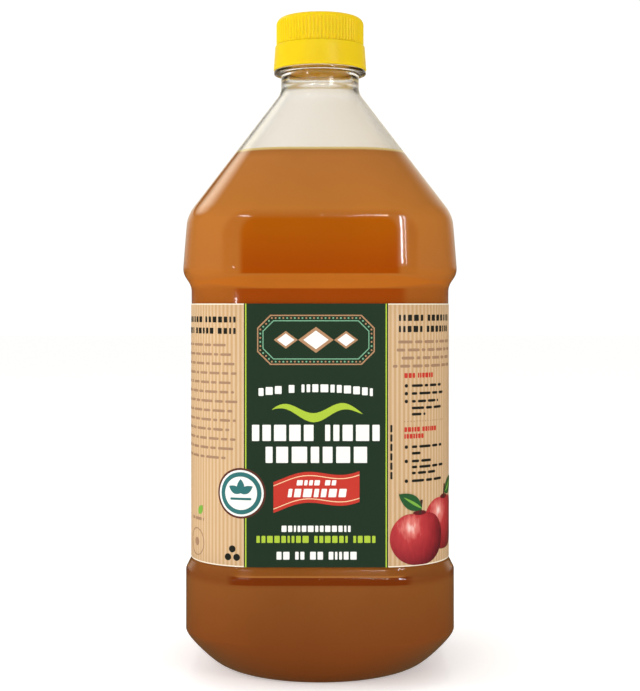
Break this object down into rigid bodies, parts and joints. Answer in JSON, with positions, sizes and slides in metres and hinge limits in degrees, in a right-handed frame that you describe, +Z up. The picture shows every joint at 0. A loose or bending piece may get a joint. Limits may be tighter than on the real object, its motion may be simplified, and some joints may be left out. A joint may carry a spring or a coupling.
{
  "type": "bottle of vinegar",
  "caption": "Clear rounded-square plastic bottle of cloudy amber vinegar with a wrap-round paper label, a round threaded neck, a ribbed yellow screw cap and a tamper band.",
  "frame": {"origin": "middle of the foot, on the surface it stands on", "axes": "+Z up to the cap, -Y towards the front of the label, +X to the right of it"},
  "size_m": [0.1098, 0.1098, 0.2675],
  "materials": {
    "clear_plastic": "clear blown plastic, glossy",
    "vinegar": "cloudy amber liquid",
    "label_film": "printed satin film, striped straw colour with a dark green front panel",
    "yellow_plastic": "moulded plastic, soft gloss"
  },
  "bodies": {
    "root": {"bottle": "clear_plastic", "vinegar": "vinegar", "label": "label_film", "cap": "yellow_plastic", "tamper_band": "yellow_plastic"}
  },
  "joints": []
}
